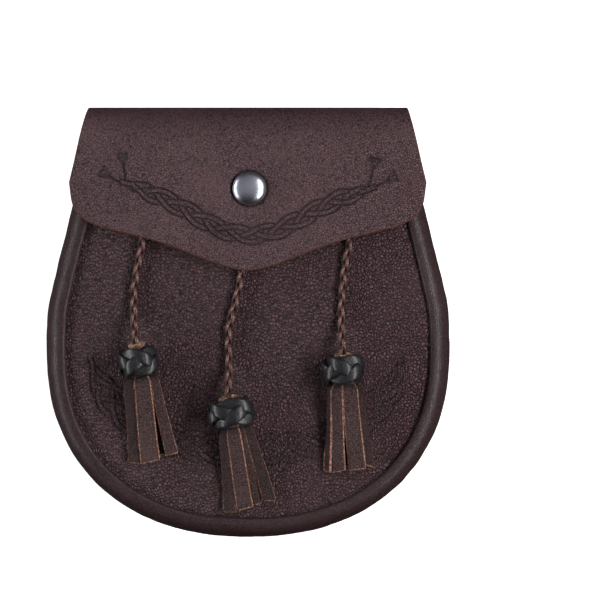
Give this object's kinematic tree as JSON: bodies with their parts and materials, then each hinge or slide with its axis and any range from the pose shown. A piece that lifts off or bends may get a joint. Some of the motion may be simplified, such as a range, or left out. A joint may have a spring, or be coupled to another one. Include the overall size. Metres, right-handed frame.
{
  "type": "sporran pouch",
  "caption": "Leather sporran pouch with a rounded bottom, a rolled rim, a shaped snap flap with an embossed plait, and strip tassels on braided cords.",
  "frame": {"origin": "on the plane the pouch lies on, under the middle of the pouch without its cords, knots and tassels", "axes": "+X to the right of the front, +Y from the rounded bottom up to the fold of the flap, +Z out of the front, away from the plane it lies on"},
  "size_m": [0.1936, 0.206, 0.0516],
  "materials": {
    "body_leather": "dark brown pebbled leather, semi-matte",
    "rim_leather": "smooth dark brown leather, satin",
    "flap_leather": "fine-grained brown leather, satin, embossed",
    "lace_leather": "braided brown lace",
    "strip_leather": "dark brown strips with raw tan edges",
    "knot_leather": "glossy black plaited leather",
    "polished_steel": "polished nickel-plated steel"
  },
  "bodies": {
    "root": {"gusset": "rim_leather", "front_panel": "body_leather", "back_panel": "body_leather", "flap": "flap_leather", "snap_cap": "polished_steel", "snap_stud": "polished_steel", "belt_loop_left": "rim_leather", "belt_loop_right": "rim_leather", "cord_left": "lace_leather", "knot_left": "knot_leather", "tassel_left": "strip_leather", "cord_centre": "lace_leather", "knot_centre": "knot_leather", "tassel_centre": "strip_leather", "cord_right": "lace_leather", "knot_right": "knot_leather", "tassel_right": "strip_leather"}
  },
  "joints": []
}
